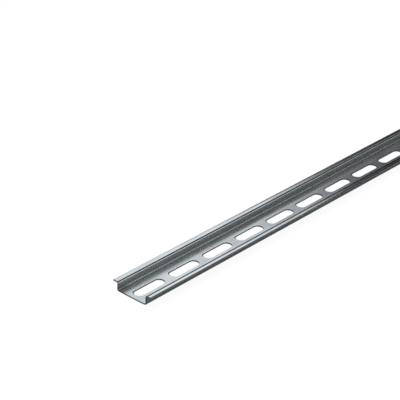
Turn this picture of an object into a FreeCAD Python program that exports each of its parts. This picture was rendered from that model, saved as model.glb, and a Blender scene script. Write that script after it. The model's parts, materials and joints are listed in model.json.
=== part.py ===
import FreeCAD, Part
import enum
import math
import os
import Sketcher

# Slotted top-hat mounting rail, roll-formed from one strip of sheet steel.
# Millimetres. X runs along the rail, Y across it and Z up, away from the panel.
# The origin is at the middle of the underside, which lies on the panel.

# Driving dimensions. Each one is a cell of the sheet and can be changed by itself.
SIZES = [
    ("rail_length", 1000.0, "length of the cut piece"),
    ("rail_width", 35.0, "over the edges of both flanges"),
    ("hat_width", 27.0, "over the outer faces of both walls"),
    ("rail_height", 7.5, "from the underside to the top of the flanges"),
    ("sheet_thickness", 1.0, "thickness of the steel strip"),
    ("inner_bend", 0.6, "inside radius of all four bends"),
    ("slot_length", 28.0, "over the round ends of a slot"),
    ("slot_width", 8.0, "across a slot"),
    ("slot_pitch", 36.0, "from one slot's middle to the next"),
    ("first_slot", 18.0, "from the near end to the middle of the first slot"),
    ("least_end_web", 4.0, "least metal left between the last slot and the far end"),
]

doc = FreeCAD.newDocument("mounting_rail")
sheet = doc.addObject("Spreadsheet::Sheet", "size")
for row, (alias, value, note) in enumerate(SIZES, start=1):
    sheet.set("A%d" % row, alias)
    sheet.set("B%d" % row, str(value))
    sheet.setAlias("B%d" % row, alias)
    sheet.set("C%d" % row, note)
doc.recompute()

# Terms that the expressions below share.
SLOT_SPAN = "(size.slot_length - size.slot_width)"
NEAR_END = "(-size.rail_length / 2)"
FIRST_SLOT_X = "(%s + size.first_slot)" % NEAR_END
ROOM_FOR_SLOTS = (
    "(size.rail_length - size.first_slot - size.slot_length / 2 - size.least_end_web)"
)


class Axis(enum.IntEnum):
    """A sketch's own axes, as a constraint names them."""

    ACROSS = -1
    UP = -2


class Point(enum.IntEnum):
    """The points of an edge that a constraint can name."""

    START = 1
    END = 2
    CENTRE = 3


START, END, CENTRE = Point
ORIGIN = (Axis.ACROSS, START)


def point(across, up):
    """A point of a sketch."""
    return FreeCAD.Vector(across, up, 0)


def new_sketch(body, role, name):
    """A sketch on one of the body's own origin planes."""
    plane = next(p for p in body.Origin.OriginFeatures if p.Role == role)
    sketch = body.newObject("Sketcher::SketchObject", name)
    sketch.AttachmentSupport = [(plane, "")]
    sketch.MapMode = "FlatFace"
    return sketch


def constrain(sketch, kind, *places):
    """Adds one geometric constraint."""
    sketch.addConstraint(Sketcher.Constraint(kind, *places))


def dimension(sketch, name, expression, kind, *places):
    """Adds one named dimension that follows the sheet."""
    start_value = float(doc.getObject("size").evalExpression(expression))
    index = sketch.addConstraint(Sketcher.Constraint(kind, *places, start_value))
    sketch.renameConstraint(index, name)
    sketch.setExpression("Constraints." + name, expression)


def line(sketch, start, end):
    """Draws a straight edge and gives back its number."""
    return sketch.addGeometry(Part.LineSegment(point(*start), point(*end)), False)


def arc(sketch, centre, radius, degrees):
    """Draws the arc round centre, anticlockwise between two angles, and gives back its number."""
    circle = Part.Circle(point(*centre), FreeCAD.Vector(0, 0, 1), radius)
    first, last = (math.radians(angle) for angle in degrees)
    return sketch.addGeometry(Part.ArcOfCircle(circle, first, last), False)


def draw_section(sketch):
    """Draws the top-hat section: base, two walls and two flanges, one sheet thick.

    Each side is drawn from its foot up over the flange and back down to the foot.
    Then the underside and the base's top face join the two sides.
    """
    thick = sheet.sheet_thickness
    inner = sheet.inner_bend
    outer = inner + thick
    wall = sheet.hat_width / 2
    edge = sheet.rail_width / 2
    top = sheet.rail_height

    sides = {}
    for name, side, foot_turn, shoulder_turn in (
        ("right", 1, (270, 360), (90, 180)),
        ("left", -1, (180, 270), (0, 90)),
    ):
        foot = (side * (wall - outer), outer)
        shoulder = (side * (wall + inner), top - outer)
        sides[name] = {
            "foot_outer": arc(sketch, foot, outer, foot_turn),
            "wall_outer": line(sketch, (side * wall, outer), (side * wall, top - outer)),
            "shoulder_inner": arc(sketch, shoulder, inner, shoulder_turn),
            "flange_under": line(
                sketch, (side * (wall + inner), top - thick), (side * edge, top - thick)
            ),
            "flange_edge": line(sketch, (side * edge, top - thick), (side * edge, top)),
            "flange_top": line(sketch, (side * edge, top), (side * (wall + inner), top)),
            "shoulder_outer": arc(sketch, shoulder, outer, shoulder_turn),
            "wall_inner": line(
                sketch, (side * (wall - thick), top - outer), (side * (wall - thick), outer)
            ),
            "foot_inner": arc(sketch, foot, inner, foot_turn),
        }
    foot_edge = wall - outer
    underside = line(sketch, (-foot_edge, 0), (foot_edge, 0))
    base_top = line(sketch, (foot_edge, thick), (-foot_edge, thick))
    constrain(sketch, "Horizontal", underside)
    constrain(sketch, "Horizontal", base_top)

    # A bend's arc is stored anticlockwise, so its ends swap on the left-hand side.
    for name, parts in sides.items():
        first, last = (START, END) if name == "right" else (END, START)
        line_near, line_far = (END, START) if name == "right" else (START, END)
        smooth = [
            (underside, line_near, parts["foot_outer"], first),
            (parts["foot_outer"], last, parts["wall_outer"], START),
            (parts["wall_outer"], END, parts["shoulder_inner"], last),
            (parts["shoulder_inner"], first, parts["flange_under"], START),
            (parts["flange_top"], END, parts["shoulder_outer"], first),
            (parts["shoulder_outer"], last, parts["wall_inner"], START),
            (parts["wall_inner"], END, parts["foot_inner"], last),
            (parts["foot_inner"], first, base_top, line_far),
        ]
        for joint in smooth:
            constrain(sketch, "Tangent", *joint)
        constrain(sketch, "Coincident", parts["flange_under"], END, parts["flange_edge"], START)
        constrain(sketch, "Coincident", parts["flange_edge"], END, parts["flange_top"], START)
        for upright in ("wall_outer", "wall_inner", "flange_edge"):
            constrain(sketch, "Vertical", parts[upright])
        for level in ("flange_under", "flange_top"):
            constrain(sketch, "Horizontal", parts[level])
        for inside, outside in (("foot_inner", "foot_outer"), ("shoulder_inner", "shoulder_outer")):
            constrain(sketch, "Coincident", parts[inside], CENTRE, parts[outside], CENTRE)

    right, left = sides["right"], sides["left"]
    constrain(sketch, "Equal", right["foot_inner"], right["shoulder_inner"])
    constrain(sketch, "Equal", right["foot_inner"], left["shoulder_inner"])
    dimension(sketch, "inner_bend", "size.inner_bend", "Radius", right["foot_inner"])

    constrain(sketch, "PointOnObject", underside, START, Axis.ACROSS)
    constrain(
        sketch, "Symmetric", left["foot_outer"], CENTRE, right["foot_outer"], CENTRE, Axis.UP
    )
    dimension(
        sketch, "sheet_thickness", "size.sheet_thickness",
        "DistanceY", underside, START, base_top, END,
    )
    dimension(
        sketch, "hat_width", "size.hat_width",
        "DistanceX", left["wall_outer"], START, right["wall_outer"], START,
    )
    constrain(sketch, "Symmetric", left["flange_edge"], END, right["flange_edge"], END, Axis.UP)
    dimension(
        sketch, "rail_width", "size.rail_width",
        "DistanceX", left["flange_edge"], END, right["flange_edge"], END,
    )
    dimension(
        sketch, "rail_height", "size.rail_height", "DistanceY", *ORIGIN, right["flange_top"], START
    )


def draw_slot(sketch):
    """Draws the first slot: two straight sides and two round ends, on the centre line."""
    radius = sheet.slot_width / 2
    middle = float(sheet.evalExpression(FIRST_SLOT_X))
    reach = (sheet.slot_length - sheet.slot_width) / 2
    near, far = middle - reach, middle + reach

    near_end = arc(sketch, (near, 0), radius, (90, 270))
    far_end = arc(sketch, (far, 0), radius, (270, 450))
    low_side = line(sketch, (near, -radius), (far, -radius))
    high_side = line(sketch, (far, radius), (near, radius))

    constrain(sketch, "Tangent", near_end, END, low_side, START)
    constrain(sketch, "Tangent", low_side, END, far_end, START)
    constrain(sketch, "Tangent", far_end, END, high_side, START)
    constrain(sketch, "Tangent", high_side, END, near_end, START)
    constrain(sketch, "Equal", near_end, far_end)
    constrain(sketch, "PointOnObject", near_end, CENTRE, Axis.ACROSS)
    constrain(sketch, "PointOnObject", far_end, CENTRE, Axis.ACROSS)
    dimension(sketch, "end_radius", "size.slot_width / 2", "Radius", near_end)
    dimension(sketch, "slot_span", SLOT_SPAN, "DistanceX", near_end, CENTRE, far_end, CENTRE)
    dimension(
        sketch, "first_slot", "%s - %s / 2" % (FIRST_SLOT_X, SLOT_SPAN),
        "DistanceX", *ORIGIN, near_end, CENTRE,
    )


# The rail itself: one section drawn out along X, then a row of slots punched in its base.
rail = doc.addObject("PartDesign::Body", "slotted_rail")
rail.Label = "slotted_rail"
rail.Placement = FreeCAD.Placement()

section = new_sketch(rail, "YZ_Plane", "section")
draw_section(section)
strip = rail.newObject("PartDesign::Pad", "formed_strip")
strip.Profile = section
strip.SideType = "Symmetric"
strip.setExpression("Length", "size.rail_length")
doc.recompute()
plain_volume = strip.Shape.Volume

slot_outline = new_sketch(rail, "XY_Plane", "slot_outline")
slot_outline.setExpression("AttachmentOffset.Base.z", "size.sheet_thickness")
draw_slot(slot_outline)
slot = rail.newObject("PartDesign::Pocket", "slot")
slot.Profile = slot_outline
slot.Type = "ThroughAll"
doc.recompute()
one_slot_volume = plain_volume - slot.Shape.Volume

slot_row = rail.newObject("PartDesign::LinearPattern", "slot_row")
slot_row.Originals = [slot]
along = next(a for a in rail.Origin.OriginFeatures if a.Role == "X_Axis")
slot_row.Direction = (along, [""])
slot_row.Mode = "Spacing"
slot_row.setExpression("Offset", "size.slot_pitch")
slot_row.setExpression("Occurrences", "floor(%s / size.slot_pitch) + 1" % ROOM_FOR_SLOTS)
rail.Tip = slot_row
doc.recompute()

# Nothing is written unless every object is sound and every slot cuts what it should.
for item in doc.Objects:
    if {"Invalid", "Error"} & set(item.State):
        raise RuntimeError("%s failed: %s" % (item.Name, item.State))
for sketch in (section, slot_outline):
    if sketch.solve() != 0 or not sketch.FullyConstrained:
        raise RuntimeError("%s is not fully constrained" % sketch.Name)
if rail.Shape.isNull() or not rail.Shape.isValid() or len(rail.Shape.Solids) != 1:
    raise RuntimeError("the rail is not one sound solid")
cut_volume = plain_volume - rail.Shape.Volume
if one_slot_volume <= 0 or abs(cut_volume / one_slot_volume - slot_row.Occurrences) > 0.001:
    raise RuntimeError("the slots don't all cut through the base")

os.makedirs("parts", exist_ok=True)
rail.Shape.exportStep("parts/%s.step" % rail.Label)
print("slots: %d, volume: %.0f mm3" % (slot_row.Occurrences, rail.Shape.Volume))
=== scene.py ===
"""Dresses the slotted mounting rail: fine sheet-metal skin, zinc finish, studio and camera."""

import json
import logging
import math
from dataclasses import dataclass, field
from enum import Enum
from functools import partial
from typing import Any, Callable, Iterable, Sequence

import bpy
from mathutils import Matrix, Vector


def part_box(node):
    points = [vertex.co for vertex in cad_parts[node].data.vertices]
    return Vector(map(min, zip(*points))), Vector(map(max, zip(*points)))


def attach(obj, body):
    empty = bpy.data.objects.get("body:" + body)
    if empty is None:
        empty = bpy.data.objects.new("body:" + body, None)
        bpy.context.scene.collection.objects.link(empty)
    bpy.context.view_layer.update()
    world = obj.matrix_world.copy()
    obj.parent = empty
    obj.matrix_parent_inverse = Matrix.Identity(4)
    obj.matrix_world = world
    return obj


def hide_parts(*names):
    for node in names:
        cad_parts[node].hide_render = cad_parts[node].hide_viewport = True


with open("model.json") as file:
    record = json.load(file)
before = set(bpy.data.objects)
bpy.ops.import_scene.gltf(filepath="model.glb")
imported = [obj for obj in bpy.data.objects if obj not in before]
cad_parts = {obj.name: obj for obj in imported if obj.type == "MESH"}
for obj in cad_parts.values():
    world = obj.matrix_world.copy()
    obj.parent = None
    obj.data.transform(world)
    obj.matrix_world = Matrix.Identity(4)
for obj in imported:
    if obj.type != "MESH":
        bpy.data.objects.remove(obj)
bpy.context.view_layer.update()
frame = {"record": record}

LOG = logging.getLogger("rail")
NODE = "slotted_rail"
BODY = "root"
MM = 0.001

QUARTER_TURN = math.pi / 2
# The colour sockets of a Mix node: what lies under, what lies over, and the result.
MIX_UNDER, MIX_OVER, MIX_RESULT = 6, 7, 2

Point2 = tuple[float, float]
Point3 = tuple[float, float, float]
Point4 = tuple[float, float, float, float]
Row = list[int | None]


def into_scene(name: str, data: bpy.types.ID) -> bpy.types.Object:
    """Makes an object of a mesh, a lamp or a camera, and puts it into the scene.

    Args:
        name: The object's name.
        data: What it's made of.

    Returns:
        The object.
    """
    made = bpy.data.objects.new(name, data)
    bpy.context.scene.collection.objects.link(made)
    return made


class Skin(Enum):
    """The two faces of the sheet that the rail is formed from."""

    UPPER = 1
    LOWER = -1


class Surface(Enum):
    """What a face of the rail is, numbered as the rail's materials are.

    PLATED is the strip's own skin, SHEARED the flanges' edges and the slots' walls, DRAWN
    the rim that the punch draws down round a slot, coloured near black as painted shade,
    and CUT the rail's cut ends.
    """

    PLATED = 0
    SHEARED = 1
    DRAWN = 2
    CUT = 3


@dataclass(frozen=True)
class SheetPoint:
    """A point of the sheet's middle line in the rail's cross-section.

    Attributes:
        y: Place across the rail.
        z: Height.
        ny: Sideways part of the normal that points out of the upper skin.
        nz: Upright part of the same normal.
    """

    y: float
    z: float
    ny: float
    nz: float

    def skin(self, side: Skin, half_sheet: float) -> "SheetPoint":
        """The point of a skin that lies over this one, with that skin's own normal."""
        way = side.value
        return SheetPoint(
            self.y + way * half_sheet * self.ny,
            self.z + way * half_sheet * self.nz,
            way * self.ny,
            way * self.nz,
        )


class MeshMaker:
    """Gathers vertices with their normals and faces with their surfaces, then makes the mesh."""

    def __init__(self) -> None:
        """Starts with nothing."""
        self.points: list[Point3] = []
        self.normals: list[Point3] = []
        self.faces: list[tuple[int, ...]] = []
        self.surfaces: list[int] = []

    def add(self, point: Sequence[float], normal: Sequence[float]) -> int:
        """Adds a vertex.

        Args:
            point: Its place.
            normal: The surface's normal there.

        Returns:
            The vertex's number.
        """
        self.points.append(tuple(point))
        self.normals.append(tuple(normal))
        return len(self.points) - 1

    def face(self, corners: Iterable[int], surface: Surface) -> None:
        """Adds a face, turned so that it looks along its corners' normals.

        Args:
            corners: Vertex numbers in order round the face.
            surface: What the face is.
        """
        ring = tuple(corners)
        places = [Vector(self.points[i]) for i in ring]
        facing = Vector()
        for here, there in zip(places, places[1:] + places[:1]):
            facing += here.cross(there)
        outward = sum((Vector(self.normals[i]) for i in ring), Vector())
        if facing.dot(outward) < 0:
            ring = ring[::-1]
        self.faces.append(ring)
        self.surfaces.append(surface.value)

    def strip(self, first: Sequence[int], second: Sequence[int], surface: Surface) -> None:
        """Joins two rows of equally many vertices by four-sided faces."""
        for i in range(len(first) - 1):
            self.face((first[i], first[i + 1], second[i + 1], second[i]), surface)

    def build(self, name: str) -> bpy.types.Object:
        """Makes the object, smooth-shaded with the normals that the vertices were given.

        Args:
            name: The object's name.

        Returns:
            The object, in the scene's collection.
        """
        mesh = bpy.data.meshes.new(name)
        mesh.from_pydata(self.points, [], self.faces)
        mesh.polygons.foreach_set("material_index", self.surfaces)
        mesh.polygons.foreach_set("use_smooth", [True] * len(self.faces))
        mesh.update()
        mesh.normals_split_custom_set_from_vertices(self.normals)
        return into_scene(name, mesh)


@dataclass
class TopHatSection:
    """The rail's cross-section: a base, two walls and two flanges of one sheet.

    Attributes:
        width: Over the edges of both flanges.
        height: From the underside to the top of the flanges.
        hat_width: Over the outer faces of both walls.
        sheet: Thickness of the sheet.
        inner_bend: Inside radius of the bends.
        crowns: How far the left and the right flange's faces turn, from the flange's middle
            to its edges, in radians.
        wall_leans: Heights down the wall, as shares of it from the top, with how far its
            faces lean upwards there, in radians.
        base_lean: How far the base's faces lean to the right along the middle, in radians.
        bend_steps: Straight steps that a bend is drawn with.
        base_steps: Steps across half of the base's flat.
    """

    width: float
    height: float
    hat_width: float = 27.0 * MM
    sheet: float = 1.0 * MM
    inner_bend: float = 0.6 * MM
    crowns: Point2 = (0.01, 0.07)
    wall_leans: tuple[Point2, ...] = ((0.0, 0.07), (0.72, -0.015), (1.0, 0.02))
    base_lean: float = 0.02
    bend_steps: int = 8
    base_steps: int = 6

    @property
    def outer_bend(self) -> float:
        """Outside radius of the bends."""
        return self.inner_bend + self.sheet

    @property
    def base_reach(self) -> float:
        """How far the base is flat, from the middle to where a bend starts."""
        return self.hat_width / 2 - self.outer_bend

    def lean_at(self, y: float) -> float:
        """How far the base's faces lean at a place across it, in radians."""
        return self.base_lean * max(1.0 - (y / self.base_reach) ** 2, 0.0)

    def quarter(self, centre: Point2, start: float, turn: int) -> list[SheetPoint]:
        """The middle line through a bend, its first point left out.

        Args:
            centre: The bend's centre, (y, z).
            start: Direction from the centre to the bend's first point, in radians.
            turn: 1 where the upper skin is the outside of the bend and -1 where it's the inside.

        Returns:
            The points, each with the upper skin's normal.
        """
        radius = self.inner_bend + self.sheet / 2
        points = []
        for step in range(1, self.bend_steps + 1):
            angle = start - turn * QUARTER_TURN * step / self.bend_steps
            ny, nz = math.cos(angle), math.sin(angle)
            place = (centre[0] + radius * ny, centre[1] + radius * nz)
            points.append(SheetPoint(*place, turn * ny, turn * nz))
        return points

    def middle_line(self, edge_inset: float) -> list[SheetPoint]:
        """The sheet's middle line from the left flange's edge to the right one's.

        Args:
            edge_inset: How far inside each edge the line starts, to leave room for the
                edge's rounding.

        Returns:
            The points from left to right.
        """
        left, right = (self.half_line(edge_inset, crown) for crown in self.crowns)
        steps = range(1 - self.base_steps, self.base_steps)
        flat = [self.base_reach * step / self.base_steps for step in steps]
        base = [SheetPoint(y, self.sheet / 2, self.lean_at(y), 1.0) for y in flat]
        mirrored = [SheetPoint(-p.y, p.z, -p.ny, p.nz) for p in reversed(right)]
        return left + base + mirrored

    def half_line(self, edge_inset: float, crown: float) -> list[SheetPoint]:
        """The middle line of the left half, from the flange's edge to where the base is flat.

        Args:
            edge_inset: How far inside the edge the line starts.
            crown: How far the flange's faces turn, in radians.

        Returns:
            The points from left to right.
        """
        flange_z = self.height - self.sheet / 2
        foot = (-self.base_reach, self.outer_bend)
        shoulder = (-(self.hat_width / 2 + self.inner_bend), self.height - self.outer_bend)
        half = [SheetPoint(-self.width / 2 + edge_inset, flange_z, -crown, 1.0)]
        half.append(SheetPoint(shoulder[0], flange_z, crown, 1.0))
        half += self.quarter(shoulder, QUARTER_TURN, 1)[:-1]
        wall_y = -(self.hat_width - self.sheet) / 2
        for share, lean in self.wall_leans:
            z = shoulder[1] + (foot[1] - shoulder[1]) * share
            half.append(SheetPoint(wall_y, z, 1.0, lean))
        return half + self.quarter(foot, math.pi, -1)


@dataclass
class SlotRow:
    """The row of round-ended slots down the middle of the base.

    Attributes:
        length: A slot's length over its round ends.
        width: A slot's width.
        first: The middle of the first slot, along the rail.
        pitch: From one slot's middle to the next.
        count: How many slots there are.
        side_roll: How far from a slot's straight side the punch has drawn the face down.
        far_roll: The same at the tip of a slot's far end.
        near_roll: The same where the near end's curve is drawn down most.
        near_roll_way: Direction of that place from the middle of the curve, (x, y).
        roll_falls: How fast the roll gets narrower away from these places, near and far.
        roll_depth: How far the face is drawn down at the edge.
        roll_steps: Steps across the curve of the roll.
        burred_edge: Radius of a slot's lower edge.
        straight_steps: Steps along a slot's straight side.
        corner_steps: Steps from a round end to the border of the slot's cell.
    """

    length: float
    width: float
    first: float
    pitch: float
    count: int
    side_roll: float = 0.04 * MM
    far_roll: float = 0.20 * MM
    near_roll: float = 0.80 * MM
    near_roll_way: Point2 = (-0.77, 0.64)
    roll_falls: tuple[int, int] = (6, 2)
    roll_depth: float = 0.14 * MM
    roll_steps: int = 4
    burred_edge: float = 0.05 * MM
    straight_steps: int = 3
    corner_steps: int = 4

    @classmethod
    def from_mounts(cls, mounts: Sequence[dict[str, Any]]) -> "SlotRow":
        """Reads the row from the record's mounts, where one mount states both end slots.

        Args:
            mounts: The mounts.

        Returns:
            The row of slots.
        """
        ends = next(m for m in mounts if m["name"].startswith("slots_01_and_"))
        count = int(ends["name"].rsplit("_", 1)[1])
        span = ends["dims"]["spacing_x_mm"] * MM
        return cls(
            length=ends["dims"]["slot_length_mm"] * MM,
            width=2 * ends["dims"]["hole_r_mm"] * MM,
            first=ends["pos_m"][0] - span / 2,
            pitch=span / (count - 1),
            count=count,
        )

    @property
    def straight_reach(self) -> float:
        """Half the length of a slot's straight side."""
        return (self.length - self.width) / 2

    def middles(self) -> list[float]:
        """The middle of each slot, along the rail."""
        return [self.first + self.pitch * i for i in range(self.count)]

    def roll(self, way_x: float, way_y: float) -> float:
        """How far from the slot its upper edge is drawn down.

        Args:
            way_x: The part along the rail of the direction away from the slot.
            way_y: The part across it.

        Returns:
            The width of the drawn curve.
        """
        near_fall, far_fall = self.roll_falls
        near_x, near_y = self.near_roll_way
        near = max(way_x * near_x + way_y * near_y, 0.0) ** near_fall
        far = max(way_x, 0.0) ** far_fall
        more = (self.near_roll - self.side_roll) * near + (self.far_roll - self.side_roll) * far
        return self.side_roll + more

    def outline(self, middle: float, side_steps: int) -> list[Point4]:
        """A slot's outline, anticlockwise from the lower left corner of its cell.

        Args:
            middle: The slot's middle, along the rail.
            side_steps: Steps across half of the cell.

        Returns:
            For each point its x and y, and the x and y of the direction away from the slot.
        """
        quarter = side_steps + self.corner_steps
        turns: list[Point2] = []

        def round_end(way: int, start: float, first: int, last: int) -> None:
            """Adds points of a round end, counted in steps of a quarter turn."""
            for step in range(first, last + 1):
                turns.append((middle + way * self.straight_reach, start + step / quarter))

        def straight(way: int, facing: float) -> None:
            """Adds the points inside a straight side, which faces a number of quarter turns."""
            for step in range(1, self.straight_steps):
                share = 2 * step / self.straight_steps - 1
                turns.append((middle + way * self.straight_reach * share, facing))

        round_end(-1, 2, side_steps, quarter)
        straight(1, 3)
        round_end(1, 3, 0, quarter)
        round_end(1, 4, 1, quarter)
        straight(-1, 5)
        round_end(-1, 5, 0, quarter)
        round_end(-1, 6, 1, side_steps - 1)

        points = []
        for x, turn in turns:
            out_x, out_y = math.cos(turn * QUARTER_TURN), math.sin(turn * QUARTER_TURN)
            points.append((x + self.width / 2 * out_x, self.width / 2 * out_y, out_x, out_y))
        return points


@dataclass
class FormedRail:
    """The rail as a fine mesh: bends, rolled and sheared edges, slots and cut ends.

    Attributes:
        section: The cross-section.
        slots: The slots in the base.
        low_x: The near end's place along the rail.
        high_x: The far end's place.
        edge_round: Radius of the corners along the flanges' edges.
        cut_round: Radius of the corners round the cut ends.
        near_trim: How far inwards the near end's cut runs at the left flange's edge, and the
            place across the rail from where it does.
        round_steps: Steps that such a small radius is drawn with.
        maker: Gathers the rail's faces.
        outline: The section's closed outline: upper skin, right edge, lower skin, left edge.
        skin_count: How many of its points lie on each skin.
        base_low: The first point of the base's flat on the upper skin.
        base_high: The last one.
        cell_gap: The points inside the base's flat on both skins.
        edge_faces: The outline's steps that lie on the flanges' edges.
    """

    section: TopHatSection
    slots: SlotRow
    low_x: float
    high_x: float
    edge_round: float = 0.45 * MM
    cut_round: float = 0.20 * MM
    near_trim: Point2 = (0.9 * MM, -8.0 * MM)
    round_steps: int = 3
    maker: MeshMaker = field(default_factory=MeshMaker)
    outline: list[SheetPoint] = field(init=False)
    skin_count: int = field(init=False)
    base_low: int = field(init=False)
    base_high: int = field(init=False)
    cell_gap: set[int] = field(init=False)
    edge_faces: set[int] = field(init=False)

    def __post_init__(self) -> None:
        """Draws the outline once and notes which of its points belong to what."""
        half_sheet = self.section.sheet / 2
        line = self.section.middle_line(self.edge_round)
        upper = [p.skin(Skin.UPPER, half_sheet) for p in line]
        lower = [p.skin(Skin.LOWER, half_sheet) for p in reversed(line)]
        self.outline = upper + self.flange_edge(1) + lower + self.flange_edge(-1)[::-1]
        self.skin_count = len(line)
        self.base_low = self.skin_count // 2 - self.section.base_steps
        self.base_high = self.skin_count // 2 + self.section.base_steps
        inside = range(self.base_low + 1, self.base_high)
        self.cell_gap = set(inside) | {self.mirror(i) for i in inside}
        ends = (self.skin_count - 1, self.mirror(0))
        self.edge_faces = {end + i for end in ends for i in range(self.edge_count + 1)}

    @property
    def edge_count(self) -> int:
        """How many of the outline's points lie on a flange's edge, between the skins."""
        return 2 * self.round_steps

    def mirror(self, index: int) -> int:
        """The outline point on the lower skin that lies under one on the upper skin."""
        return 2 * self.skin_count + self.edge_count - 1 - index

    def flange_edge(self, side: int) -> list[SheetPoint]:
        """The rounded edge of a flange, from its upper skin to its lower one.

        Args:
            side: 1 for the flange at +Y and -1 for the one at -Y.

        Returns:
            The points between the two skins.
        """
        section, small = self.section, self.edge_round
        y = section.width / 2 - small
        top, bottom = section.height - small, section.height - section.sheet + small
        points = []
        for z, first, start in ((top, 1, QUARTER_TURN), (bottom, 0, 0.0)):
            for step in range(first, first + self.round_steps):
                angle = start - QUARTER_TURN * step / self.round_steps
                ny, nz = math.cos(angle), math.sin(angle)
                points.append(SheetPoint(side * (y + small * ny), z + small * nz, side * ny, nz))
        return points

    def row(self, x: float, inset: float, lean: float, skip: set[int]) -> Row:
        """Adds one outline's vertices at a place along the rail.

        Args:
            x: The place.
            inset: How far inside the skin the vertices lie.
            lean: Turn of the normals towards the nearer end, in radians, with its sign.
            skip: Outline points that are left out, because a slot's cell is there.

        Returns:
            The vertex numbers, with None for a point that is left out.
        """
        along, across = math.sin(lean), math.cos(lean)
        ids: Row = []
        for i, p in enumerate(self.outline):
            if i in skip:
                ids.append(None)
                continue
            place = (x + self.trim(x, p.y), p.y - inset * p.ny, p.z - inset * p.nz)
            ids.append(self.maker.add(place, (along, across * p.ny, across * p.nz)))
        return ids

    def trim(self, x: float, y: float) -> float:
        """How far inwards of a square cut a point of the near end lies.

        Args:
            x: The point's place along the rail, at a square cut.
            y: Its place across the rail.

        Returns:
            The distance, which is 0 for every point that isn't at the near end.
        """
        if x > self.low_x + self.cut_round:
            return 0.0
        depth, start = self.near_trim
        return depth * max((start - y) / (start + self.section.width / 2), 0.0)

    def join(self, first: Row, second: Row, skin: Surface = Surface.PLATED) -> None:
        """Joins two rows all the way round, but not where a point is left out.

        Args:
            first: One row.
            second: The next row.
            skin: What the faces of the two skins are.
        """
        count = len(first)
        for i in range(count):
            k = (i + 1) % count
            corners = (first[i], first[k], second[k], second[i])
            if None in corners:
                continue
            surface = Surface.SHEARED if i in self.edge_faces else skin
            self.maker.face(corners, surface)

    def cut_end(self, side: int, first_row: Row) -> None:
        """Rounds a cut end over and closes it.

        Args:
            side: 1 for the far end and -1 for the near one.
            first_row: The row that the rounding starts from.
        """
        end = self.high_x if side > 0 else self.low_x
        row = first_row
        for step in range(1, self.round_steps + 1):
            lean = QUARTER_TURN * step / self.round_steps
            x = end - side * self.cut_round * (1 - math.sin(lean))
            inset = self.cut_round * (1 - math.cos(lean))
            following = self.row(x, inset, side * lean, set())
            self.join(row, following, Surface.CUT)
            row = following
        last = self.skin_count - 1
        below_last, below_first = self.mirror(last), self.mirror(0)
        upper, lower = row[: last + 1], row[below_last : below_first + 1][::-1]
        self.maker.strip(upper, lower, Surface.CUT)
        self.maker.face(row[last : below_last + 1], Surface.CUT)
        self.maker.face(row[below_first:] + row[:1], Surface.CUT)

    def slot_cell(self, middle: float, rows: Sequence[Row]) -> None:
        """Fills the base round one slot, on both skins, and gives the slot its walls.

        Args:
            middle: The slot's middle.
            rows: The rows from the cell's near border to its far one.
        """
        section, slots, maker = self.section, self.slots, self.maker
        outline = slots.outline(middle, section.base_steps)

        def ring(profile: Callable[[float], Point4]) -> list[int]:
            """Adds one ring of vertices round the slot.

            Args:
                profile: Gives, for the width of the drawn curve at an outline point, the
                    offset from the slot, the height and the normal's inward and upward parts.

            Returns:
                The ring's vertex numbers.
            """
            ids = []
            for x, y, ox, oy in outline:
                offset, z, inward, up = profile(slots.roll(ox, oy))
                place = (x + offset * ox, y + offset * oy, z)
                lean = up * section.lean_at(place[1])
                ids.append(maker.add(place, (-inward * ox, lean - inward * oy, up)))
            return ids

        def border(first: int, last: int) -> list[int]:
            """The cell's border on one skin, from one outline point to another."""
            step = 1 if last > first else -1
            across = range(first + step, last, step)
            near, far = rows[0], rows[-1]
            around = [r[first] for r in rows] + [far[i] for i in across]
            return around + [r[last] for r in reversed(rows)] + [near[i] for i in reversed(across)]

        def rolled(turn: float, width: float) -> Point4:
            """The drawn-down upper edge, an elliptical quarter that turns from 0 to 90 degrees."""
            z = section.sheet - slots.roll_depth * (1 - math.cos(turn))
            lean = math.atan2(slots.roll_depth * math.sin(turn), width * math.cos(turn))
            return width * (1 - math.sin(turn)), z, math.sin(lean), math.cos(lean)

        def burred(turn: float, _width: float) -> Point4:
            """The rounded lower edge, which is the same all round, whatever the roll's width."""
            small = slots.burred_edge
            inward, up = math.cos(turn), -math.sin(turn)
            return small * (1 - inward), small * (1 + up), inward, up

        rings = []
        for profile, steps in ((rolled, slots.roll_steps), (burred, self.round_steps)):
            for step in range(steps + 1):
                rings.append(ring(partial(profile, QUARTER_TURN * step / steps)))

        upper = border(self.base_low, self.base_high)
        lower = border(self.mirror(self.base_low), self.mirror(self.base_high))
        hoops = [upper, *rings, lower]
        for i, (outer, inner) in enumerate(zip(hoops, hoops[1:])):
            if i == 0 or i == len(hoops) - 2:
                surface = Surface.PLATED
            else:
                surface = Surface.DRAWN if i <= slots.roll_steps else Surface.SHEARED
            maker.strip(outer + outer[:1], inner + inner[:1], surface)

    def stations(self) -> list[tuple[float, float | None]]:
        """Places along the rail, each with the middle of the slot whose cell starts there.

        Returns:
            Places from the near end to the far one, and None where no cell starts.
        """
        slots = self.slots
        near, far = self.low_x + self.cut_round, self.high_x - self.cut_round
        places: list[tuple[float, float | None]] = []
        for middle in slots.middles():
            low = max(middle - slots.pitch / 2, near)
            high = min(middle + slots.pitch / 2, far)
            left, right = middle - slots.straight_reach, middle + slots.straight_reach
            marks = [(low, left, slots.corner_steps), (left, right, slots.straight_steps)]
            marks.append((right, high, slots.corner_steps))
            for start, end, steps in marks:
                for step in range(steps):
                    owner = middle if start == low and step == 0 else None
                    places.append((start + (end - start) * step / steps, owner))
        places.append((high, None))
        if far - high > self.cut_round:
            places.append((far, None))
        return places

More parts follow.
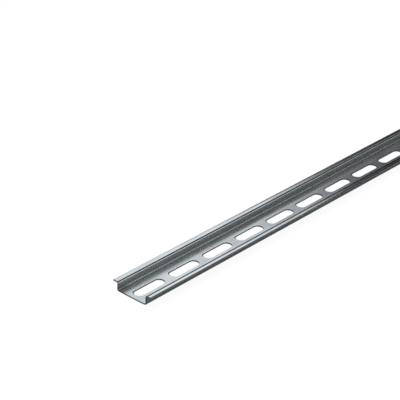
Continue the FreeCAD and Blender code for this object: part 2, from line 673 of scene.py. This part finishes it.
    def build(self, name: str) -> bpy.types.Object:
        """Makes the rail.

        Args:
            name: The object's name.

        Returns:
            The rail, with its faces numbered by what surface they are.
        """
        cell_steps = 2 * self.slots.corner_steps + self.slots.straight_steps
        places = self.stations()
        cell_starts = {i: middle for i, (_, middle) in enumerate(places) if middle is not None}
        within = {i + k for i in cell_starts for k in range(1, cell_steps)}
        rows = [
            self.row(x, 0.0, 0.0, self.cell_gap if i in within else set())
            for i, (x, _) in enumerate(places)
        ]
        for i, (here, there) in enumerate(zip(rows, rows[1:])):
            if i in cell_starts:
                self.slot_cell(cell_starts[i], rows[i : i + cell_steps + 1])
            self.join(here, there)
        self.cut_end(-1, rows[0])
        self.cut_end(1, rows[-1])
        return self.maker.build(name)


class Field:
    """A number that varies over a surface, which Python expressions can work on."""

    def __init__(self, graph: "Graph", socket: bpy.types.NodeSocket) -> None:
        """Wraps the socket that gives the number."""
        self.graph = graph
        self.socket = socket

    def _math(
        self, operation: str, first: "Field | float", second: "Field | float"
    ) -> "Field":
        """Adds a Math node and gives back its result."""
        node = self.graph.make("ShaderNodeMath", {"operation": operation}, {0: first, 1: second})
        return Field(self.graph, node.outputs[0])

    def __add__(self, other: "Field | float") -> "Field":
        """self + other, and other + self."""
        return self._math("ADD", self, other)

    __radd__ = __add__

    def __sub__(self, other: "Field | float") -> "Field":
        """self - other."""
        return self._math("SUBTRACT", self, other)

    def __rsub__(self, other: "Field | float") -> "Field":
        """other - self."""
        return self._math("SUBTRACT", other, self)

    def __mul__(self, other: "Field | float") -> "Field":
        """self * other, and other * self."""
        return self._math("MULTIPLY", self, other)

    __rmul__ = __mul__

    def angle_from(self, other: "Field") -> "Field":
        """The angle whose tangent is self / other, in radians."""
        return self._math("ARCTAN2", self, other)

    def size(self) -> "Field":
        """The number without its sign."""
        return self._math("ABSOLUTE", self, 0.0)

    def smooth_step(self, low: float, high: float) -> "Field":
        """Goes smoothly from 0 at low to 1 at high.

        Args:
            low: Where the step starts.
            high: Where it ends.

        Returns:
            The step.
        """
        settings = {"interpolation_type": "SMOOTHSTEP"}
        inputs = {"Value": self, "From Min": low, "From Max": high}
        node = self.graph.make("ShaderNodeMapRange", settings, inputs)
        return Field(self.graph, node.outputs["Result"])


class Graph:
    """Makes the nodes of one material or world."""

    def __init__(self, tree: bpy.types.NodeTree) -> None:
        """Takes a node tree and empties it."""
        self.tree = tree
        tree.nodes.clear()

    def make(
        self,
        kind: str,
        settings: dict[str, Any] | None = None,
        inputs: dict[str | int, Any] | None = None,
    ) -> bpy.types.Node:
        """Makes one node.

        Args:
            kind: The node's type.
            settings: Its own properties, and for a ramp its stops, each a (place, grey level).
            inputs: A value, a Field, a node or a socket for each named or numbered input.

        Returns:
            The node.
        """
        node = self.tree.nodes.new(kind)
        for name, value in (settings or {}).items():
            if name == "stops":
                self.set_stops(node.color_ramp, value)
            else:
                setattr(node, name, value)
        for name, value in (inputs or {}).items():
            if isinstance(value, Field):
                self.tree.links.new(value.socket, node.inputs[name])
            elif isinstance(value, bpy.types.Node):
                self.tree.links.new(value.outputs[0], node.inputs[name])
            elif isinstance(value, bpy.types.NodeSocket):
                self.tree.links.new(value, node.inputs[name])
            else:
                node.inputs[name].default_value = value
        return node

    @staticmethod
    def set_stops(ramp: bpy.types.ColorRamp, stops: Sequence[Point2]) -> None:
        """Gives a ramp its stops.

        Args:
            ramp: The ramp.
            stops: The place and grey level of each stop.
        """
        while len(ramp.elements) > 1:
            ramp.elements.remove(ramp.elements[-1])
        ramp.elements[0].position = stops[0][0]
        for place, _ in stops[1:]:
            ramp.elements.new(place)
        for element, (_, level) in zip(ramp.elements, stops):
            element.color = (level, level, level, 1.0)

    def field(self, node: bpy.types.Node, output: str | int = 0) -> Field:
        """The number that a node's output gives."""
        return Field(self, node.outputs[output])

    def light_path(self, kind: str) -> Field:
        """1 for rays of one kind, such as Is Camera Ray, and 0 for the rest."""
        return self.field(self.make("ShaderNodeLightPath"), kind)

    def stretched(self, scale: Point3) -> bpy.types.NodeSocket:
        """The place on the object, in metres, times a scale for each axis."""
        place = self.make("ShaderNodeTexCoord").outputs["Object"]
        inputs = {0: place, 1: scale}
        return self.make("ShaderNodeVectorMath", {"operation": "MULTIPLY"}, inputs).outputs[0]

    def noise(self, scale: Point3, detail: float, roughness: float = 0.5) -> Field:
        """Noise from 0 to 1 over the object.

        Args:
            scale: Features per metre along each axis.
            detail: How many finer layers it has.
            roughness: How strong those layers are.

        Returns:
            The noise.
        """
        inputs = {
            "Vector": self.stretched(scale),
            "Scale": 1.0,
            "Detail": detail,
            "Roughness": roughness,
        }
        return self.field(self.make("ShaderNodeTexNoise", {}, inputs), "Fac")

    def blend(
        self, share: Field, under: Point3 | bpy.types.NodeSocket, over: Point3
    ) -> bpy.types.NodeSocket:
        """A colour that covers another one by a share that varies.

        Args:
            share: 0 where only the covered colour is seen and 1 where it's hidden.
            under: The covered colour, or the socket that gives it.
            over: The colour that covers it.

        Returns:
            The blended colour's socket.
        """
        ground = under if isinstance(under, bpy.types.NodeSocket) else (*under, 1.0)
        settings = {"data_type": "RGBA", "clamp_factor": True}
        inputs = {"Factor": share, MIX_UNDER: ground, MIX_OVER: (*over, 1.0)}
        return self.make("ShaderNodeMix", settings, inputs).outputs[MIX_RESULT]

    def axes(self) -> tuple[Field, Field, Field]:
        """The place on the object in metres: along the rail, across it and up."""
        place = self.make("ShaderNodeSeparateXYZ", {}, {0: self.stretched((1.0, 1.0, 1.0))})
        return self.field(place, "X"), self.field(place, "Y"), self.field(place, "Z")

    def metal(
        self, colour: bpy.types.NodeSocket, roughness: Field, height: Field, relief: Point2
    ) -> None:
        """Ends a material in metal.

        Args:
            colour: The metal's colour.
            roughness: Its roughness.
            height: How its surface goes up and down, from 0 to 1.
            relief: How strongly that shows, and how far up 1 is.
        """
        strength, distance = relief
        bumps = {"Strength": strength, "Distance": distance, "Height": height}
        normal = self.make("ShaderNodeBump", {}, bumps)
        inputs = {"Base Color": colour, "Metallic": 1.0, "Roughness": roughness, "Normal": normal}
        shader = self.make("ShaderNodeBsdfPrincipled", {}, inputs)
        self.make("ShaderNodeOutputMaterial", {}, {"Surface": shader})

    def cover(self, share: Field, under: bpy.types.Node, over: bpy.types.Node) -> None:
        """Ends a material in one shader that covers another by a share that varies."""
        both = self.make("ShaderNodeMixShader", {}, {0: share, 1: under, 2: over})
        self.make("ShaderNodeOutputMaterial", {}, {"Surface": both})


def new_finish(name: str) -> tuple[bpy.types.Material, Graph]:
    """Makes a material that has no nodes yet.

    Args:
        name: The material's name.

    Returns:
        The material and the maker of its nodes.
    """
    made = bpy.data.materials.new(name)
    made.use_nodes = True
    return made, Graph(made.node_tree)


@dataclass(frozen=True)
class ZincPlating:
    """Satin zinc plating over cold-rolled strip, with painted shade: dark lines along the flanges
    and a dark patch at one foot near the near end.

    Attributes:
        near_x: The rail's near end.
        clean: Colour where the plating is brightest.
        dull: Colour of its cloudy patches.
        painted_shade_colour: Near-black colour of the painted shade: the painted dark lines along
            the flanges and the painted shade at the foot near the near end.
        polish: Roughness where the plating is brightest.
        haze: Roughness added in the cloudy patches.
        base_haze: Roughness added on the base, which the forming rolls don't polish.
        clouds: Cloudy patches per metre along each axis.
        cloud_step: Where in their noise they start and are full.
        rolling: Rolling lines per metre along each axis.
        rolling_step: Where in their noise they start and are full.
        grain: Grains per metre along each axis.
        waves: Waves of the sheet per metre along each axis.
        wear_shares: How much clouds, rolling lines and grain add to the wear.
        relief_shares: How much waves, rolling lines and grain add to the relief.
        relief: How strongly the relief shows, and how high it is.
        painted_dark_lines: For each painted dark line along a flange's bend or edge, which stands
            in for the dark reflection and shade there, its y and half its width, with its soft
            sides.
        dark_line_core: The part of that half width that isn't soft.
        dark_line_z: Heights between which a painted dark line starts to be seen.
        base_z: Heights between which the base's haze fades.
        foot_shade_x: Places, from the near end, between which the painted shade in the corner at
            the foot of the wall at +Y fades.
        foot_shade_y: Places across the rail between which that painted shade grows.
        foot_shade_z: Heights between which it fades.
        foot_shade_share: How much of the plating it covers where it's full.
    """

    near_x: float
    clean: Point3 = (0.655, 0.68, 0.69)
    dull: Point3 = (0.533, 0.555, 0.565)
    painted_shade_colour: Point3 = (0.045, 0.047, 0.049)
    polish: float = 0.135
    haze: float = 0.09
    base_haze: float = 0.075
    clouds: Point3 = (34.0, 60.0, 60.0)
    cloud_step: Point2 = (0.35, 0.68)
    rolling: Point3 = (9.0, 1500.0, 1500.0)
    rolling_step: Point2 = (0.30, 0.70)
    grain: Point3 = (900.0, 2600.0, 2600.0)
    waves: Point3 = (16.0, 30.0, 30.0)
    wear_shares: Point3 = (0.55, 0.38, 0.07)
    relief_shares: Point3 = (0.75, 0.03, 0.006)
    relief: Point2 = (0.22, 0.20 * MM)
    painted_dark_lines: tuple[Point2, ...] = (
        (13.06 * MM, 0.32 * MM),
        (-13.90 * MM, 1.00 * MM),
        (-16.95 * MM, 0.55 * MM),
    )
    dark_line_core: float = 0.5
    dark_line_z: Point2 = (6.8 * MM, 6.9 * MM)
    base_z: Point2 = (1.1 * MM, 1.6 * MM)
    foot_shade_x: Point2 = (8.0 * MM, 10.0 * MM)
    foot_shade_y: Point2 = (9.0 * MM, 12.4 * MM)
    foot_shade_z: Point2 = (1.6 * MM, 2.4 * MM)
    foot_shade_share: float = 0.38

    def material(self) -> bpy.types.Material:
        """Makes the material."""
        made, graph = new_finish("zinc_plated_steel")
        clouds = graph.noise(self.clouds, detail=4.0, roughness=0.55)
        clouds = clouds.smooth_step(*self.cloud_step)
        rolling = graph.noise(self.rolling, detail=2.0).smooth_step(*self.rolling_step)
        grain = graph.noise(self.grain, detail=2.0)
        cloud_share, rolling_share, grain_share = self.wear_shares
        wear = clouds * cloud_share + rolling * rolling_share + grain * grain_share

        along, across, up = graph.axes()
        # Painted dark lines along the flanges' bends and the near flange's edge, which stand in
        # for dark reflection and shade.
        lines = sum(
            1.0 - (across - line_y).size().smooth_step(reach * self.dark_line_core, reach)
            for line_y, reach in self.painted_dark_lines
        )
        # Painted shade in the corner at the foot of the wall at +Y, by the rail's near end.
        foot_shade = (
            (1.0 - along.smooth_step(*(self.near_x + x for x in self.foot_shade_x)))
            * across.smooth_step(*self.foot_shade_y)
            * self.foot_shade_share
            * (1.0 - up.smooth_step(*self.foot_shade_z))
        )
        # All the painted shade darkens the plating towards one near-black colour.
        dark = lines * up.smooth_step(*self.dark_line_z) + foot_shade
        colour = graph.blend(dark, graph.blend(wear, self.clean, self.dull), self.painted_shade_colour)

        base = 1.0 - up.smooth_step(*self.base_z)
        roughness = wear * self.haze + base * self.base_haze + self.polish

        wave_share, rolling_share, grain_share = self.relief_shares
        waves = graph.noise(self.waves, detail=2.0)
        height = waves * wave_share + rolling * rolling_share + grain * grain_share
        graph.metal(colour, roughness, height, self.relief)
        return made


@dataclass(frozen=True)
class ShearedSteel:
    """Bare steel where the strip was slit, punched or cut off.

    Attributes:
        name: The material's name.
        bright: Colour of the burnished part of the cut.
        torn: Colour of the torn part.
        smooth: Roughness of the burnished part.
        coarse: Roughness added where the metal tore.
        tears: Tears per metre along each axis.
        tear_step: Where in their noise they start and are full.
        relief: How strongly the tears' relief shows, and how high it is.
    """

    name: str = "sheared_steel"
    bright: Point3 = (0.33, 0.34, 0.35)
    torn: Point3 = (0.17, 0.17, 0.17)
    smooth: float = 0.34
    coarse: float = 0.25
    tears: Point3 = (1400.0, 1400.0, 500.0)
    tear_step: Point2 = (0.35, 0.65)
    relief: Point2 = (0.5, 0.04 * MM)

    def material(self) -> bpy.types.Material:
        """Makes the material."""
        made, graph = new_finish(self.name)
        tears = graph.noise(self.tears, detail=3.0, roughness=0.6)
        tears = tears.smooth_step(*self.tear_step)
        colour = graph.blend(tears, self.bright, self.torn)
        graph.metal(colour, tears * self.coarse + self.smooth, tears, self.relief)
        return made


@dataclass
class Studio:
    """A white floor, a light card behind the rail and soft light from above.

    Attributes:
        near_x: The rail's near end, which the card is placed from.
        floor_z: Height of the floor.
        floor_size: Side of the floor.
        floor_drop: How far the floor lies under the rail.
        floor_paint: Grey level of the floor's paint.
        mirrored_paint: Grey level of the floor as the metal shows it.
        floor_glow: How bright the camera sees the floor, where 1 is white.
        shadow_share: How much of the rail's shadow on the floor is kept in the picture.
        card_y: How far behind the rail's middle the card stands.
        card_x: The card's ends, measured from the rail's near end.
        card_z: The card's lower and upper edges.
        card_end: Where its light ends at mid-height, measured from the rail's near end.
        card_slant: How much further its light reaches for each metre higher up.
        card_fade: Length over which its far end fades.
        corner_slant: Slope of the cut over its low far corner, as card_slant is measured.
        corner_cut: Where that cut starts and ends to fade, from the near end, at height 0.
        card_rim: Height over which its lower and upper edges fade.
        card_level: The card's brightness.
        card_colour: The colour of its light.
        card_dim: How much of that light is missing at the card's near end.
        card_rise: Where it starts and ends to rise to the full level, from the near end.
        lamp_size: The lamp's two sides.
        lamp_power: Its power, in watts.
        lamp_place: Where it hangs.
        lamp_aim: Which way it shines.
        far_light: Light seen towards the rail's far end, by turn from behind it over the top
            to before it: 0 is level behind, 1 is level before, and each turn has a level.
        near_light: The same towards the rail's near end.
        far_share: Where the far end's light starts and is complete, as parts of a direction
            along the rail.
        far_dim: How much of the surroundings' light is missing far along the rail.
        far_dim_from: Where that starts and is complete, as parts of the same direction.
    """

    near_x: float
    floor_z: float
    floor_size: float = 12.0
    floor_drop: float = 0.02 * MM
    floor_paint: float = 0.80
    mirrored_paint: float = 0.40
    floor_glow: float = 1.05
    shadow_share: float = 0.12
    card_y: float = 0.42
    card_x: Point2 = (-0.35, 1.50)
    card_z: Point2 = (0.21, 0.72)
    card_end: float = 0.88
    card_slant: float = -0.20
    card_fade: float = 0.08
    corner_slant: float = 2.3
    corner_cut: Point2 = (-0.14, -0.10)
    card_rim: float = 0.05
    card_level: float = 1.27
    card_colour: Point3 = (0.915, 0.96, 1.0)
    card_dim: float = 0.20
    card_rise: Point2 = (0.38, 0.60)
    lamp_size: Point2 = (1.6, 1.2)
    lamp_power: float = 12.0
    lamp_place: Point3 = (-0.3, 0.5, 1.4)
    lamp_aim: Point3 = (0.1, -0.5, -1.4)
    far_light: tuple[Point2, ...] = (
        (0.00, 0.14),
        (0.24, 0.10),
        (0.305, 0.10),
        (0.325, 0.95),
        (0.43, 0.95),
        (0.45, 0.02),
        (0.59, 0.02),
        (0.61, 1.20),
        (0.66, 1.20),
        (0.68, 0.11),
        (0.80, 0.11),
        (0.85, 1.15),
        (0.98, 1.15),
        (1.00, 0.80),
    )
    near_light: tuple[Point2, ...] = (
        (0.00, 0.40),
        (0.20, 0.62),
        (0.50, 0.55),
        (0.80, 0.60),
        (1.00, 0.40),
    )
    far_share: Point2 = (0.10, 0.50)
    far_dim: float = 0.6
    far_dim_from: Point2 = (0.67, 0.76)

    def panel(
        self, name: str, corners: Sequence[Point3], material: bpy.types.Material
    ) -> bpy.types.Object:
        """A flat four-sided thing of the studio.

        Args:
            name: Its name.
            corners: Its corners in order.
            material: What it's made of.

        Returns:
            The panel.
        """
        mesh = bpy.data.meshes.new(name)
        mesh.from_pydata(corners, [], [(0, 1, 2, 3)])
        mesh.materials.append(material)
        made = into_scene(name, mesh)
        return made

    def from_near(self, places: Point2) -> Point2:
        """Turns two places measured from the rail's near end into places along X."""
        return self.near_x + places[0], self.near_x + places[1]

    def floor(self) -> None:
        """Lays the floor, white to the camera but for a share of the rail's shadow."""
        material, graph = new_finish("floor_white")
        mirrored = graph.light_path("Is Glossy Ray")
        shade = graph.blend(mirrored, (self.floor_paint,) * 3, (self.mirrored_paint,) * 3)
        paint = graph.make("ShaderNodeBsdfDiffuse", {}, {"Color": shade})
        light = {"Color": (1.0, 1.0, 1.0, 1.0), "Strength": self.floor_glow}
        white = graph.make("ShaderNodeEmission", {}, light)
        seen = graph.light_path("Is Camera Ray")
        graph.cover(seen * (1.0 - self.shadow_share), paint, white)
        half, z = self.floor_size / 2, self.floor_z - self.floor_drop
        corners = [(-half, -half, z), (half, -half, z), (half, half, z), (-half, half, z)]
        self.panel("floor", corners, material)

    def card(self) -> None:
        """Stands the light card behind the rail, where only reflections find it."""
        low, high = self.card_z
        material, graph = new_finish("light_card_glow")
        along, _, up = graph.axes()
        reach = along - up * self.card_slant
        last = self.near_x + self.card_end - self.card_slant * (low + high) / 2
        corner = along - up * self.corner_slant
        share = (
            (1.0 - reach.smooth_step(last - self.card_fade, last))
            * (1.0 - corner.smooth_step(*self.from_near(self.corner_cut)))
            * up.smooth_step(low, low + self.card_rim)
            * (1.0 - up.smooth_step(high - self.card_rim, high))
        )
        rise = along.smooth_step(*self.from_near(self.card_rise))
        near_colour = tuple(part * (1.0 - self.card_dim) for part in self.card_colour)
        colour = graph.blend(rise, near_colour, self.card_colour)
        glow = graph.make("ShaderNodeEmission", {}, {"Color": colour, "Strength": self.card_level})
        graph.cover(share, graph.make("ShaderNodeBsdfTransparent"), glow)
        (x0, x1), y = self.from_near(self.card_x), self.card_y
        corners = [(x0, y, low), (x1, y, low), (x1, y, high), (x0, y, high)]
        made = self.panel("light_card", corners, material)
        made.visible_camera = False
        made.visible_shadow = False

    def lamp(self) -> None:
        """Hangs one large soft lamp over the rail, for the light and shadow on the floor."""
        data = bpy.data.lights.new("key_lamp", "AREA")
        data.shape = "RECTANGLE"
        data.size, data.size_y = self.lamp_size
        data.energy = self.lamp_power
        made = into_scene("key_lamp", data)
        made.location = self.lamp_place
        made.rotation_euler = Vector(self.lamp_aim).to_track_quat("-Z", "Y").to_euler()
        made.visible_glossy = False
        made.visible_camera = False

    def surroundings(self) -> None:
        """Sets what the metal sees all round, and plain white for the camera."""
        world = bpy.data.worlds.new("studio")
        world.use_nodes = True
        bpy.context.scene.world = world
        graph = Graph(world.node_tree)
        direction = graph.make("ShaderNodeTexCoord").outputs["Generated"]
        way = graph.make("ShaderNodeSeparateXYZ", {}, {0: direction})
        rise, across, along = (graph.field(way, axis) for axis in "ZYX")
        turn = rise.angle_from(across) * (1 / math.pi)
        far, near = (
            graph.field(graph.make("ShaderNodeValToRGB", {"stops": stops}, {0: turn}))
            for stops in (self.far_light, self.near_light)
        )
        ahead = along.smooth_step(*self.far_share)
        seen = graph.light_path("Is Camera Ray")
        dimmed = 1.0 - along.smooth_step(*self.far_dim_from) * self.far_dim
        level = seen + (1.0 - seen) * (ahead * far + (1.0 - ahead) * near) * dimmed
        back = graph.make("ShaderNodeBackground", {}, {"Color": level, "Strength": 1.0})
        graph.make("ShaderNodeOutputWorld", {}, {"Surface": back})

    def build(self) -> None:
        """Sets up the whole studio."""
        self.floor()
        self.card()
        self.lamp()
        self.surroundings()


@dataclass(frozen=True)
class PhotoCamera:
    """The camera at the photograph's viewing angle.

    Attributes:
        place: Where it stands, measured from the rail's near end, on its middle line.
        azimuth: Direction that it looks in, from +X towards +Y, in degrees.
        dip: How far below the horizon it looks, in degrees.
        roll: Turn about its own line of sight, in degrees.
        focal_pixels: Focal length, in pixels of the picture.
        picture_pixels: The picture's width, in pixels.
        sensor: Width of the sensor, in millimetres.
        clip: The nearest and the furthest distance that it shows.
    """

    place: Point3 = (-0.64788, -0.59849, 0.55567)
    azimuth: float = 39.921
    dip: float = 28.434
    roll: float = 2.951
    focal_pixels: float = 1527.3
    picture_pixels: float = 400.0
    sensor: float = 36.0
    clip: Point2 = (0.01, 50.0)

    def build(self, near_x: float) -> None:
        """Makes the camera.

        Args:
            near_x: Where the rail's near end is.
        """
        azimuth, dip, roll = (math.radians(a) for a in (self.azimuth, self.dip, self.roll))
        flat = math.cos(dip)
        ahead = Vector((flat * math.cos(azimuth), flat * math.sin(azimuth), -math.sin(dip)))
        level = ahead.cross(Vector((0.0, 0.0, 1.0))).normalized()
        upright = level.cross(ahead)
        right = math.cos(roll) * level + math.sin(roll) * upright
        up = right.cross(ahead)
        data = bpy.data.cameras.new("camera")
        data.sensor_width = self.sensor
        data.lens = self.focal_pixels / self.picture_pixels * self.sensor
        data.clip_start, data.clip_end = self.clip
        made = into_scene("camera", data)
        turn = Matrix((right, up, -ahead)).transposed().to_4x4()
        stand = Vector(self.place) + Vector((near_x, 0.0, 0.0))
        made.matrix_world = Matrix.Translation(stand) @ turn
        bpy.context.scene.camera = made


def finishes(near_x: float) -> dict[Surface, ZincPlating | ShearedSteel]:
    """The finish of each surface of a rail whose near end is at near_x."""
    return {
        Surface.PLATED: ZincPlating(near_x),
        Surface.SHEARED: ShearedSteel(),
        # The drawn rim's near-black colour is painted shade: the dark outline round each slot,
        # widest at its near end.
        Surface.DRAWN: ShearedSteel("drawn_rim_painted_shade", bright=(0.06,) * 3, torn=(0.04,) * 3),
        Surface.CUT: ShearedSteel("cut_end", bright=(0.20, 0.205, 0.21), torn=(0.10,) * 3),
    }


def main() -> None:
    """Builds the rail, its finishes, the studio and the camera."""
    logging.basicConfig(level=logging.INFO, format="%(message)s")
    low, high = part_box(NODE)
    section = TopHatSection(width=high.y - low.y, height=high.z - low.z)
    slots = SlotRow.from_mounts(frame["record"]["mounts"])
    rail = FormedRail(section, slots, low.x, high.x).build("formed_rail")
    dress = finishes(low.x)
    for surface in Surface:
        rail.data.materials.append(dress[surface].material())
    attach(rail, BODY)
    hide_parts(NODE)
    triangles = sum(len(p.vertices) - 2 for p in rail.data.polygons)
    LOG.info("formed_rail: %d slots, %d triangles", slots.count, triangles)

    Studio(low.x, low.z).build()
    LOG.info("studio: floor, light card, lamp and surroundings")
    PhotoCamera().build(low.x)
    LOG.info("camera: at the photograph's viewing angle")
    bpy.context.scene.view_settings.view_transform = "Standard"


if __name__ == "__main__":
    main()
